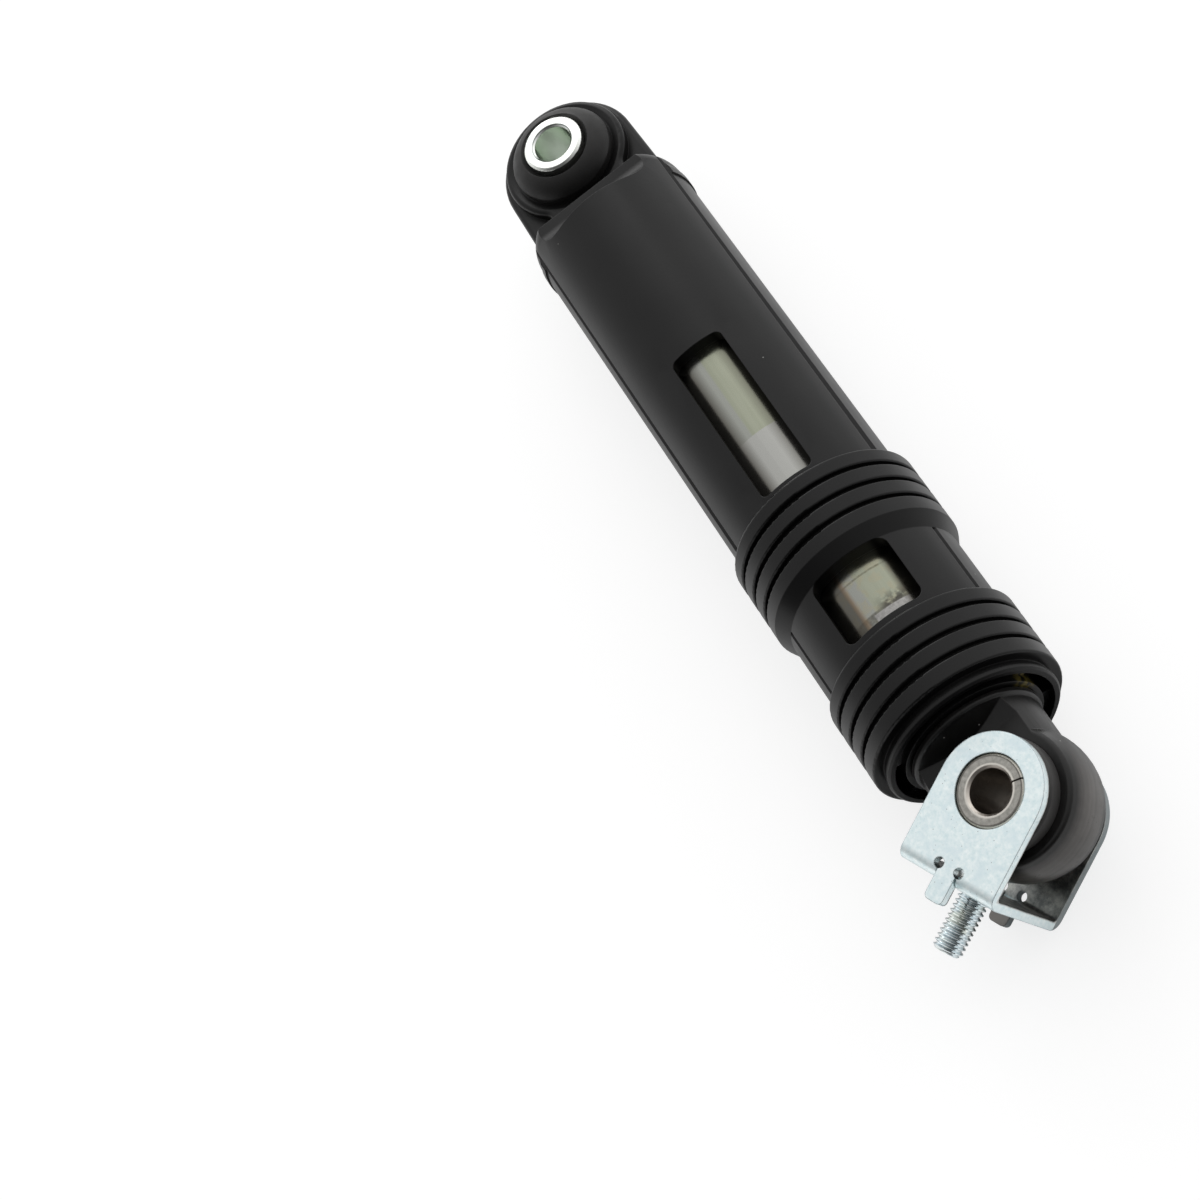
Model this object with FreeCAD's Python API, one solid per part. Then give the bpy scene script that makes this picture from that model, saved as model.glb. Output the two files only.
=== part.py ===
import FreeCAD
import Part
import math
import os

# Washing machine shock absorber, closed, in millimetres.
# The origin is the middle of the housing eye, +X runs along the damper to the rod eye,
# and +Z is the axis of the bolt through the housing eye.

# Whole damper
eye_span = 184.0          # housing eye to rod eye, closed
mouth_to_rod_eye = 16.7
rod_turn = 12.5           # degrees the rod is turned about X in the housing
bracket_turn = -67.0      # degrees from straight ahead to the stud, about the rod eye
stop_gap = 0.5            # left at the end of the stroke

# Fits between pieces
running_fit = 0.05        # radial, for pieces that turn or slide on each other
side_gap = 0.3            # faces that pass each other

# Liner tube, which the housing is moulded round
liner_r = 15.2
liner_wall = 0.8
liner_start_x = 26.0

# Housing body and its two ribbed collars
body_end_x = 13.5
body_corner = 5.0
eye_wall = 2.8            # of the body round the liner, at its eye end
mid_wall = 3.05
waist_wall = 3.4
collar_rise = 1.65        # of a collar above the waist
collar_to_mouth = 11.0    # middle of the end collar
collar_spacing = 37.55
collar_half = 8.3         # half of a collar's full height part
collar_edge = 0.6         # rounding of its rear step
front_shoulder = 3.4
rib_pitch = 4.4
rib_groove_count = 3
rib_groove_width = 0.9
rib_groove_depth = 1.2
rib_edge = 0.4            # rounding along each groove
seam_angle = 64.5         # of the moulding creases, from the top of the body
seam_width = 1.3
seam_depth = 0.5
pad_rise = 0.35           # of a low pad on each side of the eye end
pad_ramp = 2.0
pad_length = 4.0          # beyond the rounded end of the body
pad_half = 7.0

# Mouth of the housing
mouth_depth = 8.3
guide_seat = 1.8          # of the mouth's bore outside the liner
lip_wall = 1.4
lip_length = 1.2
valley_wall = 1.0         # under the hollow between the last rib and the lip
last_rib_to_mouth = 2.5
bead_height = 0.3         # of the bead that keeps the guide ring in
bead_to_mouth = 5.3
bead_length = 1.6

# Windows, cut from above and below, placed from the middle of the first collar
long_window_gap = 10.15
long_window_length = 38.8
long_window_width = 11.8
long_window_corner = 1.4
small_window_gap = 11.55
small_window_length = 15.7
small_window_width = 17.0
small_window_corner = 2.0

# Scoop at the eye end of the body, a hollow across the damper, above and below
scoop_ridge_x = 23.1
scoop_end_x = 16.7        # where its floor ends above the neck of the eye
scoop_depth = 5.8         # below the top of the body
scoop_corner = 4.2        # rounding of its floor up to the ridge

# Housing eye, outwards from the hole for the rubber
housing_eye_r = 10.2
seat_gap = 0.3            # round the rubber, at the foot of its dished seat
seat_step = 2.7
boss_rim = 1.1
plate_rim = 1.6
plate_flare = 0.5         # of the plate's sides where they meet the body
plate_half = 3.5
plate_edge = 1.2
boss_rise = 2.7           # above the plate
boss_neck_half = 9.7
boss_fillet = 2.5         # between the round boss and its neck
boss_edge = 1.0
seat_depth = 0.3

# Sleeves in the eyes, for a bolt of 8 mm
bolt_bore_r = 4.2
housing_sleeve_wall = 2.45
rod_sleeve_wall = 2.8
sleeve_edge = 0.5
sleeve_seam = 0.3
sleeve_seam_angle = 69.0  # about the rod eye, from straight ahead

# Rubber of the housing eye
hub_flange = 1.1          # beyond the hole in the eye
hub_step = 1.7            # height of its straight side above its seat
hub_dome = 3.4
hub_top_width = 1.15
hub_hollow = 1.4          # depth of the hollow round the sleeve
hub_swell = 0.5           # of its rounded shoulder beyond a straight cone
housing_sleeve_stand = 1.1

# Guide ring
guide_recess = 2.0        # its front face behind the mouth
guide_nose_recess = 0.2
guide_nose_wall = 2.1
guide_open_angle = 40.0   # of each side opening
guide_slit = 2.0

# Rod
rod_gap = 1.8             # between the rod and the liner
rod_wall = 3.6
rod_core_cap = 9.5        # solid length behind the flange
rod_tip_gap = 8.0         # left to the end of the liner when closed
rod_tip_chamfer = 1.9
rod_tip_taper = 5.0
land_gap = 0.5            # between the lands and the liner
land_length = 5.0
lining_thickness = 3.2    # with its clearances
lining_length = 30.0
flange_rise = 1.1
flange_gap = 0.4          # to the guide ring when closed
flange_length = 1.4
flange_edge = 0.7
flange_cone = 1.9         # of its front face towards the eye
flange_cone_r = 8.0
neck_rise = 0.4           # of the neck above the rod's radius
neck_to_eye = 9.0
neck_step = 0.6           # below the flange
neck_flat = 1.0           # of the neck's flats above the eye's sides, at the flange

# Rod eye
rod_eye_r = 9.8
barrel_wall = 4.6
barrel_edge_wall = 3.2
barrel_edge = 0.9         # rounding of its rims
barrel_half = 7.0
rod_bush_lip = 1.2        # of its flange beyond the hole in the eye
rod_bush_flange = 3.9
rod_bush_edge = 0.8

# Bracket and stud
sheet = 1.8
arm_rim = 3.9             # round the sleeve
bend_r = 0.8              # inside the bends
relief_r = 1.05
relief_inset = 2.8        # from the outside of the web
tab_width = 4.1
tab_length = 3.9          # beyond the web
tab_corner = 1.0
tab_slack = 0.25          # between a tab's side and the middle of its relief hole
web_notch = 4.9           # how far the tabs' notches reach into the web
stud_r = 3.0
stud_shank = 0.4          # more radius where it is pressed into the web
stud_length = 12.0        # beyond the web
stud_chamfer = 0.7
stud_head_r = 4.5
stud_head = 1.2
stud_head_gap = 1.0       # to the barrel of the rod eye

X_AXIS = FreeCAD.Vector(1, 0, 0)
Y_AXIS = FreeCAD.Vector(0, 1, 0)
Z_AXIS = FreeCAD.Vector(0, 0, 1)
ORIGIN = FreeCAD.Vector(0, 0, 0)

# Places along the damper
mouth_x = eye_span - mouth_to_rod_eye
end_collar_x = mouth_x - collar_to_mouth
mid_collar_x = end_collar_x - collar_spacing
last_rib_end_x = mouth_x - last_rib_to_mouth
bead_x = mouth_x - bead_to_mouth
liner_end_x = mouth_x - mouth_depth
long_window_end_x = mid_collar_x - long_window_gap
long_window_x = (long_window_end_x - long_window_length, long_window_end_x)
small_window_start_x = mid_collar_x + small_window_gap
small_window_x = (small_window_start_x, small_window_start_x + small_window_length)
guide_front_x = mouth_x - guide_recess
guide_nose_x = mouth_x - guide_nose_recess
rod_tip_x = liner_start_x + rod_tip_gap
land_rear_x = rod_tip_x + rod_tip_taper
lining_rear_x = land_rear_x + land_length
lining_front_x = lining_rear_x + lining_length
land_front_x = lining_front_x + land_length
stroke = liner_end_x - stop_gap - land_front_x
flange_x = guide_nose_x + flange_gap
rod_core_end_x = flange_x - rod_core_cap
neck_x = eye_span - neck_to_eye

# Radii about the damper's axis
liner_bore_r = liner_r - liner_wall
body_eye_r = liner_r + eye_wall
body_mid_r = liner_r + mid_wall
waist_r = liner_r + waist_wall
collar_r = waist_r + collar_rise
mouth_bore_r = liner_r + guide_seat
lip_r = mouth_bore_r + lip_wall
valley_r = mouth_bore_r + valley_wall
bead_r = mouth_bore_r + bead_height
scoop_z = body_eye_r - scoop_depth
rod_r = liner_bore_r - rod_gap
guide_bore_r = rod_r + running_fit
guide_nose_r = rod_r + guide_nose_wall
rod_core_r = rod_r - rod_wall
land_r = liner_bore_r - land_gap
rod_tip_r = land_r - rod_tip_chamfer
lining_groove_r = liner_bore_r - lining_thickness
flange_r = rod_r + flange_rise
neck_r = rod_r + neck_rise
neck_flange_r = flange_r - neck_step

# Housing eye
bush_seat_r = housing_eye_r + seat_step
boss_r = bush_seat_r + boss_rim
plate_r = boss_r + plate_rim
plate_shoulder_y = plate_r + plate_flare
boss_half = plate_half + boss_rise
bush_seat_half = boss_half - seat_depth
hub_r = housing_eye_r + hub_flange
seat_foot_r = hub_r + seat_gap
hub_step_z = bush_seat_half + hub_step
hub_top_z = hub_step_z + hub_dome
hub_hollow_z = hub_top_z - hub_hollow
housing_sleeve_r = bolt_bore_r + housing_sleeve_wall
housing_sleeve_half = hub_top_z + housing_sleeve_stand
hub_top_r = housing_sleeve_r + hub_top_width

# Rod eye and bracket
barrel_r = rod_eye_r + barrel_wall
barrel_edge_r = rod_eye_r + barrel_edge_wall
rod_bush_r = rod_eye_r + rod_bush_lip
rod_bush_half = barrel_half + rod_bush_flange
rod_sleeve_r = bolt_bore_r + rod_sleeve_wall
arm_r = rod_sleeve_r + arm_rim
arm_inner = rod_bush_half + side_gap
bracket_half = arm_inner + sheet
web_inner = barrel_r + stud_head_gap + stud_head
web_reach = web_inner + sheet
relief_reach = web_reach - relief_inset
relief_offset = tab_width / 2 + tab_slack
tab_reach = web_reach + tab_length
web_notch_z = arm_inner - web_notch
stud_shank_r = stud_r + stud_shank
stud_reach = web_reach + stud_length


def outline(steps, place):
    """A closed wire: a step is one point for a line, or two for an arc's middle and end."""
    edges = []
    here = place(*steps[0])
    first = here
    for step in steps[1:]:
        if isinstance(step[0], tuple):
            middle, end = place(*step[0]), place(*step[1])
            edges.append(Part.Arc(here, middle, end).toShape())
        else:
            end = place(*step)
            edges.append(Part.makeLine(here, end))
        here = end
    edges.append(Part.makeLine(here, first))
    return Part.Wire(edges)


def turned_x(steps):
    """A solid of revolution about X from points (x, radius)."""
    wire = outline(steps, lambda x, r: FreeCAD.Vector(x, -r, 0))
    return Part.Face(wire).revolve(ORIGIN, X_AXIS, 360)


def turned_z(steps):
    """A solid of revolution about Z from points (radius, z)."""
    wire = outline(steps, lambda r, z: FreeCAD.Vector(r, 0, z))
    return Part.Face(wire).revolve(ORIGIN, Z_AXIS, 360)


def tube_x(x_start, x_end, inner, outer):
    length = x_end - x_start
    start = FreeCAD.Vector(x_start, 0, 0)
    whole = Part.makeCylinder(outer, length, start, X_AXIS)
    return whole.cut(Part.makeCylinder(inner, length, start, X_AXIS))


def rod_z(radius, half, x=0.0, y=0.0):
    """A cylinder along Z, the same above and below the middle plane."""
    return Part.makeCylinder(radius, 2 * half, FreeCAD.Vector(x, y, -half), Z_AXIS)


def block(x_range, y_range, z_range):
    corner = FreeCAD.Vector(x_range[0], y_range[0], z_range[0])
    size = [b - a for a, b in (x_range, y_range, z_range)]
    return Part.makeBox(*size, corner)


def slab(steps, half):
    """A plate from an outline (x, y), the same above and below the middle plane."""
    wire = outline(steps, lambda x, y: FreeCAD.Vector(x, y, -half))
    return Part.Face(wire).extrude(FreeCAD.Vector(0, 0, 2 * half))


def rounded_slab(steps, half, edge):
    """The same plate with its two rims rounded."""
    shape = slab(steps, half)
    rims = []
    for e in shape.Edges:
        if abs(abs(e.BoundBox.ZMin) - half) < 1e-6 and e.BoundBox.ZLength < 1e-6:
            rims.append(e)
    return shape.makeFillet(edge, rims)


def place_rod(shape):
    """Puts a piece modelled about the rod eye into the damper."""
    shape.rotate(ORIGIN, X_AXIS, rod_turn)
    shape.translate(FreeCAD.Vector(eye_span, 0, 0))
    return shape


def place_bracket(shape):
    """Puts a piece modelled with its stud straight ahead on the rod eye."""
    shape.rotate(ORIGIN, Z_AXIS, bracket_turn)
    return place_rod(shape)


def collar_steps(middle_x, rear_r):
    """A collar from the foot of its rear step to its last groove, with rounded edges."""
    step_x = middle_x - collar_half
    step_inset = collar_edge * (1 - math.sqrt(0.5))
    floor_r = collar_r - rib_groove_depth
    inset = rib_edge * (1 - math.sqrt(0.5))
    steps = [
        (step_x, rear_r),
        (step_x, collar_r - collar_edge),
        ((step_x + step_inset, collar_r - step_inset), (step_x + collar_edge, collar_r)),
    ]
    for i in range(rib_groove_count):
        x = middle_x + (i - (rib_groove_count - 1) / 2) * rib_pitch
        rear = x - rib_groove_width / 2
        front = x + rib_groove_width / 2
        steps += [
            (rear - rib_edge, collar_r),
            ((rear - inset, collar_r - inset), (rear, collar_r - rib_edge)),
            (rear, floor_r),
            (front, floor_r),
            (front, collar_r - rib_edge),
            ((front + inset, collar_r - inset), (front + rib_edge, collar_r)),
        ]
    return steps


def body_shell():
    """The round outside of the housing with its collars and lip, still solid."""
    corner_x = body_end_x + body_corner
    corner_r = body_eye_r - body_corner
    diagonal = body_corner * math.sqrt(0.5)
    corner_middle = (corner_x - diagonal, corner_r + diagonal)
    mid_front_x = mid_collar_x + collar_half
    lip_x = mouth_x - lip_length
    lip_edge = lip_r - valley_r
    rib_inset = rib_edge * (1 - math.sqrt(0.5))
    last_round = (last_rib_end_x - rib_inset, collar_r - rib_inset)
    steps = [
        (body_end_x, 0),
        (body_end_x, corner_r),
        (corner_middle, (corner_x, body_eye_r)),
    ]
    steps += collar_steps(mid_collar_x, body_mid_r)
    steps += [
        (mid_front_x, collar_r),
        (mid_front_x + front_shoulder, waist_r),
    ]
    steps += collar_steps(end_collar_x, waist_r)
    steps += [
        (last_rib_end_x - rib_edge, collar_r),
        (last_round, (last_rib_end_x, collar_r - rib_edge)),
        (last_rib_end_x, valley_r),
        (lip_x, valley_r),
        (lip_x, lip_r),
        (mouth_x - lip_edge, lip_r),
        (mouth_x, valley_r),
        (mouth_x, 0),
    ]
    return turned_x(steps)


def seam_creases():
    """Four V shaped creases along each plain stretch, beside the side bands."""
    creases = []
    mid_rear = mid_collar_x - collar_half
    mid_front = mid_collar_x + collar_half + front_shoulder
    end_rear = end_collar_x - collar_half
    stretches = ((body_end_x, mid_rear, body_eye_r), (mid_front, end_rear, waist_r))
    half_slope = seam_width / 2 / seam_depth
    for x_start, x_end, radius in stretches:
        floor_z = radius - seam_depth
        top_z = radius + 1
        half = half_slope * (top_z - floor_z)
        for angle in (seam_angle, -seam_angle, 180 - seam_angle, seam_angle - 180):
            wire = outline(
                [(0, floor_z), (half, top_z), (-half, top_z)],
                lambda y, z: FreeCAD.Vector(x_start, y, z),
            )
            crease = Part.Face(wire).extrude(FreeCAD.Vector(x_end - x_start, 0, 0))
            crease.rotate(ORIGIN, X_AXIS, angle)
            creases.append(crease)
    return creases


def side_pads():
    """A low pad on each side, between the creases, that rises out of the rounded end."""
    corner_x = body_end_x + body_corner
    end_x = corner_x + pad_length
    top_r = body_eye_r + pad_rise
    ring = turned_x([
        (corner_x - pad_ramp, 0),
        (corner_x - pad_ramp, top_r - pad_ramp / 2),
        (corner_x + pad_ramp, top_r),
        (end_x, top_r),
        (end_x, 0),
    ])
    return ring.common(block((body_end_x, end_x), (-top_r, top_r), (-pad_half, pad_half)))


def window(x_range, width, corner):
    """An opening with rounded corners through the wall above and below the bore."""
    half = width / 2
    hole = block(x_range, (-half, half), (-collar_r - 1, collar_r + 1))
    upright = []
    for e in hole.Edges:
        if e.BoundBox.ZLength > 1:
            upright.append(e)
    return hole.makeFillet(corner, upright)


def scoops():
    """The hollows across the eye end of the body, with the steps down to the neck of the eye."""
    bend_x = scoop_ridge_x - scoop_corner
    bend_z = scoop_z + scoop_corner
    diagonal = scoop_corner * math.sqrt(0.5)
    steps = [
        (0, boss_half),
        (scoop_end_x, boss_half),
        (scoop_end_x, scoop_z),
        (bend_x, scoop_z),
        ((bend_x + diagonal, bend_z - diagonal), (scoop_ridge_x, bend_z)),
        (scoop_ridge_x, collar_r),
        (0, collar_r),
    ]
    wire = outline(steps, lambda x, z: FreeCAD.Vector(x, -collar_r, z))
    upper = Part.Face(wire).extrude(FreeCAD.Vector(0, 2 * collar_r, 0))
    lower = upper.copy()
    lower.rotate(ORIGIN, X_AXIS, 180)
    return [upper, lower]


def eye_plate():
    inside_x = body_end_x + body_corner
    steps = [
        (0, plate_r),
        ((-plate_r, 0), (0, -plate_r)),
        (inside_x, -plate_shoulder_y),
        (inside_x, plate_shoulder_y),
    ]
    return rounded_slab(steps, plate_half, plate_edge)


def eye_boss():
    """A round boss with a neck that runs into the body."""
    inside_x = body_end_x + body_corner
    # the fillet touches the neck's side and the boss from outside
    reach = boss_r + boss_fillet
    centre_y = boss_neck_half + boss_fillet
    centre_x = math.sqrt(reach ** 2 - centre_y ** 2)
    touch_x = centre_x * boss_r / reach
    touch_y = centre_y * boss_r / reach
    half_turn = math.acos(centre_y / reach) / 2
    bend_x = centre_x - boss_fillet * math.sin(half_turn)
    bend_y = centre_y - boss_fillet * math.cos(half_turn)
    steps = [
        (centre_x, boss_neck_half),
        ((bend_x, bend_y), (touch_x, touch_y)),
        ((-boss_r, 0), (touch_x, -touch_y)),
        ((bend_x, -bend_y), (centre_x, -boss_neck_half)),
        (inside_x, -boss_neck_half),
        (inside_x, boss_neck_half),
    ]
    return rounded_slab(steps, boss_half, boss_edge)


def bush_seats():
    """The dished seats of the rubber in both faces of the boss."""
    dish = (bush_seat_r - seat_foot_r) / seat_depth
    top_z = boss_half + 1
    upper = turned_z([
        (0, bush_seat_half),
        (seat_foot_r, bush_seat_half),
        (bush_seat_r + dish, top_z),
        (0, top_z),
    ])
    lower = upper.copy()
    lower.rotate(ORIGIN, X_AXIS, 180)
    return [upper, lower]


def make_housing():
    shape = body_shell()
    shape = shape.cut(scoops())
    shape = shape.cut(seam_creases())
    shape = shape.fuse([side_pads(), eye_plate(), eye_boss()])
    bore_start = FreeCAD.Vector(liner_start_x, 0, 0)
    bore = Part.makeCylinder(liner_r, mouth_x - liner_start_x, bore_start, X_AXIS)
    mouth_start = FreeCAD.Vector(liner_end_x, 0, 0)
    mouth = Part.makeCylinder(mouth_bore_r, mouth_x - liner_end_x, mouth_start, X_AXIS)
    bead_start = FreeCAD.Vector(bead_x, 0, 0)
    bead = Part.makeCylinder(bead_r, bead_length, bead_start, X_AXIS)
    eye = rod_z(housing_eye_r, boss_half)
    windows = [
        window(long_window_x, long_window_width, long_window_corner),
        window(small_window_x, small_window_width, small_window_corner),
    ]
    return shape.cut([bore, mouth, bead, eye] + bush_seats() + windows).removeSplitter()


def make_liner():
    return tube_x(liner_start_x, liner_end_x, liner_bore_r, liner_r)


def guide_openings():
    """The two openings through the ring at the sides of the mouth."""
    ring = tube_x(liner_end_x, guide_nose_x, guide_nose_r, bead_r + 1)
    half = math.radians(guide_open_angle / 2)
    reach = bead_r + 2
    rise = reach * math.tan(half)
    wedge_wire = outline(
        [(0, 0), (reach, rise), (reach, -rise)],
        lambda y, z: FreeCAD.Vector(liner_end_x, y, z),
    )
    wedge = Part.Face(wedge_wire).extrude(FreeCAD.Vector(guide_nose_x - liner_end_x, 0, 0))
    other = wedge.copy()
    other.rotate(ORIGIN, X_AXIS, 180)
    return [ring.common(wedge), ring.common(other)]


def make_guide_ring():
    steps = [
        (liner_end_x, guide_bore_r),
        (liner_end_x, mouth_bore_r),
        (bead_x, mouth_bore_r),
        (bead_x, bead_r),
        (bead_x + bead_length, bead_r),
        (bead_x + bead_length, mouth_bore_r),
        (guide_front_x, mouth_bore_r),
        (guide_front_x, guide_nose_r),
        (guide_nose_x, guide_nose_r),
        (guide_nose_x, guide_bore_r),
    ]
    half = guide_slit / 2
    slit = block((liner_end_x - 1, mouth_x), (-half, half), (-bead_r - 1, 0))
    return turned_x(steps).cut(guide_openings() + [slit])


def sleeve(outer, half):
    """A steel tube with both rims chamfered inside and outside."""
    steps = [
        (bolt_bore_r + sleeve_edge, half),
        (outer - sleeve_edge, half),
        (outer, half - sleeve_edge),
        (outer, sleeve_edge - half),
        (outer - sleeve_edge, -half),
        (bolt_bore_r + sleeve_edge, -half),
        (bolt_bore_r, sleeve_edge - half),
        (bolt_bore_r, half - sleeve_edge),
    ]
    return turned_z(steps)


def make_housing_bush():
    """Rubber between the sleeve and the eye, domed above and below."""
    swell = hub_swell * math.sqrt(0.5)
    dome_r = (hub_r + hub_top_r) / 2 + swell
    dome_z = (hub_step_z + hub_top_z) / 2 + swell
    steps = [
        (housing_sleeve_r, hub_hollow_z),
        (hub_top_r, hub_top_z),
        ((dome_r, dome_z), (hub_r, hub_step_z)),
        (hub_r, bush_seat_half),
        (housing_eye_r, bush_seat_half),
        (housing_eye_r, -bush_seat_half),
        (hub_r, -bush_seat_half),
        (hub_r, -hub_step_z),
        ((dome_r, -dome_z), (hub_top_r, -hub_top_z)),
        (housing_sleeve_r, -hub_hollow_z),
    ]
    return turned_z(steps)


def make_friction_lining():
    rear = lining_rear_x + side_gap
    front = lining_front_x - side_gap
    inner = lining_groove_r + running_fit
    return tube_x(rear, front, inner, liner_bore_r - running_fit)


def rod_shaft():
    """The plunger with its lining groove and flange, moved to lie about the rod eye."""
    flange_end = flange_x + flange_length
    bulge = flange_edge * (1 - math.sqrt(0.5))
    steps = [
        (rod_tip_x, rod_core_r),
        (rod_tip_x, rod_tip_r),
        (land_rear_x, land_r),
        (lining_rear_x, land_r),
        (lining_rear_x, lining_groove_r),
        (lining_front_x, lining_groove_r),
        (lining_front_x, land_r),
        (land_front_x, land_r),
        (land_front_x, rod_r),
        (flange_x, rod_r),
        (flange_x, flange_r),
        (flange_end - flange_edge, flange_r),
        ((flange_end - bulge, flange_r - bulge), (flange_end, flange_r - flange_edge)),
        (flange_end + flange_cone, flange_cone_r),
        (flange_end + flange_cone, 0),
        (rod_core_end_x, 0),
        (rod_core_end_x, rod_core_r),
    ]
    shape = turned_x(steps)
    shape.translate(FreeCAD.Vector(-eye_span, 0, 0))
    return shape


def rod_neck():
    """The round neck with two flats that fall to the eye's sides short of the rubber."""
    start = flange_x + flange_length - eye_span
    waist = neck_x - eye_span
    foot = -rod_bush_r - side_gap
    flat_half = barrel_half + neck_flat
    round_neck = turned_x([
        (start, 0),
        (start, neck_flange_r),
        ((waist, neck_r), (0, barrel_edge_r)),
        (0, 0),
    ])
    wedge_wire = outline(
        [
            (start, flat_half),
            (foot, barrel_half),
            (0, barrel_half),
            (0, -barrel_half),
            (foot, -barrel_half),
            (start, -flat_half),
        ],
        lambda x, z: FreeCAD.Vector(x, -flange_r, z),
    )
    wedge = Part.Face(wedge_wire).extrude(FreeCAD.Vector(0, 2 * flange_r, 0))
    return round_neck.common(wedge)


def rod_barrel():
    """The bulging ring of the rod eye, still solid, with rounded rims."""
    barrel = turned_z([
        (0, barrel_half),
        (barrel_edge_r, barrel_half),
        ((barrel_r, 0), (barrel_edge_r, -barrel_half)),
        (0, -barrel_half),
    ])
    rims = []
    for e in barrel.Edges:
        if e.BoundBox.ZLength < 1e-6 and e.BoundBox.XLength > barrel_edge_r:
            rims.append(e)
    return barrel.makeFillet(barrel_edge, rims)


def make_rod():
    shape = rod_shaft().fuse([rod_neck(), rod_barrel()])
    eye = rod_z(rod_eye_r, barrel_half + 1)
    return place_rod(shape.cut(eye).removeSplitter())


def make_rod_bush():
    """Rubber in the rod eye with a flange on each side."""
    inner = rod_sleeve_r + running_fit
    top = rod_bush_half
    edge = rod_bush_edge
    steps = [
        (inner, top),
        (rod_bush_r - edge, top),
        (rod_bush_r, top - edge),
        (rod_bush_r, barrel_half),
        (rod_eye_r, barrel_half),
        (rod_eye_r, -barrel_half),
        (rod_bush_r, -barrel_half),
        (rod_bush_r, edge - top),
        (rod_bush_r - edge, -top),
        (inner, -top),
    ]
    return place_rod(turned_z(steps))


def make_rod_sleeve():
    """A rolled tube, open along one seam, flush with the bracket's outer faces."""
    shape = sleeve(rod_sleeve_r, bracket_half)
    half = sleeve_seam / 2
    seam = block((0, rod_sleeve_r + 1), (-half, half), (-bracket_half - 1, bracket_half + 1))
    seam.rotate(ORIGIN, Z_AXIS, sleeve_seam_angle)
    return place_rod(shape.cut(seam))


def bent_strip():
    """The U of sheet seen from the side, as wide as the arms."""
    bend_out = bend_r + sheet
    near = arm_inner - bend_r
    base = web_reach - bend_out
    out_side = bend_out * math.sqrt(0.5)
    in_side = bend_r * math.sqrt(0.5)
    steps = [
        (-arm_r, bracket_half),
        (base, bracket_half),
        ((base + out_side, near + out_side), (web_reach, near)),
        (web_reach, -near),
        ((base + out_side, -near - out_side), (base, -bracket_half)),
        (-arm_r, -bracket_half),
        (-arm_r, -arm_inner),
        (base, -arm_inner),
        ((base + in_side, -near - in_side), (web_inner, -near)),
        (web_inner, near),
        ((base + in_side, near + in_side), (base, arm_inner)),
        (-arm_r, arm_inner),
    ]
    wire = outline(steps, lambda x, z: FreeCAD.Vector(x, -arm_r, z))
    return Part.Face(wire).extrude(FreeCAD.Vector(0, 2 * arm_r, 0))


def arm_outline():
    steps = [
        (0, arm_r),
        ((-arm_r, 0), (0, -arm_r)),
        (web_reach, -arm_r),
        (web_reach, arm_r),
    ]
    return slab(steps, bracket_half)


def arm_tab(side):
    """A straight tab that carries on past the web, beside the stud."""
    low = min(side * arm_inner, side * bracket_half)
    half = tab_width / 2
    tab = block((relief_reach - relief_r, tab_reach), (-half, half), (low, low + sheet))
    tip_edges = []
    for e in tab.Edges:
        if e.BoundBox.ZLength > 1 and e.BoundBox.XMin > tab_reach - 0.1:
            tip_edges.append(e)
    return tab.makeFillet(tab_corner, tip_edges)


def make_bracket():
    shape = bent_strip().common(arm_outline())
    cuts = [rod_z(rod_sleeve_r, bracket_half + 1)]
    for side in (1, -1):
        z_range = sorted((side * web_notch_z, side * (bracket_half + 1)))
        y_range = (-relief_offset, relief_offset)
        cuts.append(block((relief_reach, web_reach + 1), y_range, z_range))
        cuts.append(rod_z(relief_r, bracket_half + 1, relief_reach, side * relief_offset))
    shape = shape.cut(cuts)
    shape = shape.fuse([arm_tab(1), arm_tab(-1)])
    for side in (1, -1):
        shape = shape.cut(rod_z(relief_r, bracket_half + 1, relief_reach, side * relief_offset))
    start = FreeCAD.Vector(web_inner - 1, 0, 0)
    shape = shape.cut(Part.makeCylinder(stud_shank_r, sheet + 2, start, X_AXIS))
    return place_bracket(shape.removeSplitter())


def make_stud():
    """A plain threaded stud, its head inside the web."""
    head_start = web_inner - stud_head
    steps = [
        (head_start, 0),
        (head_start, stud_head_r),
        (web_inner, stud_head_r),
        (web_inner, stud_shank_r),
        (web_reach, stud_shank_r),
        (web_reach, stud_r),
        (stud_reach - stud_chamfer, stud_r),
        (stud_reach, stud_r - stud_chamfer),
        (stud_reach, 0),
    ]
    return place_bracket(turned_x(steps))


nodes = {
    "housing": make_housing(),
    "liner_tube": make_liner(),
    "guide_ring": make_guide_ring(),
    "housing_eye_bush": make_housing_bush(),
    "housing_eye_sleeve": sleeve(housing_sleeve_r, housing_sleeve_half),
    "friction_lining": make_friction_lining(),
    "rod": make_rod(),
    "rod_eye_bush": make_rod_bush(),
    "rod_eye_sleeve": make_rod_sleeve(),
    "bracket": make_bracket(),
    "stud": make_stud(),
}

os.makedirs("parts", exist_ok=True)
for name, shape in nodes.items():
    solids = shape.Solids
    print(name, len(solids), "solid", shape.isValid(), round(shape.Volume, 1))
    whole = solids[0] if len(solids) == 1 else Part.makeCompound(solids)
    whole.exportStep("parts/" + name + ".step")
print("stroke", round(stroke, 2))
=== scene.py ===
"""Looks of the washing machine shock absorber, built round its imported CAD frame."""

import math

import bmesh
import bpy
from mathutils import Matrix, Vector


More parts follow.
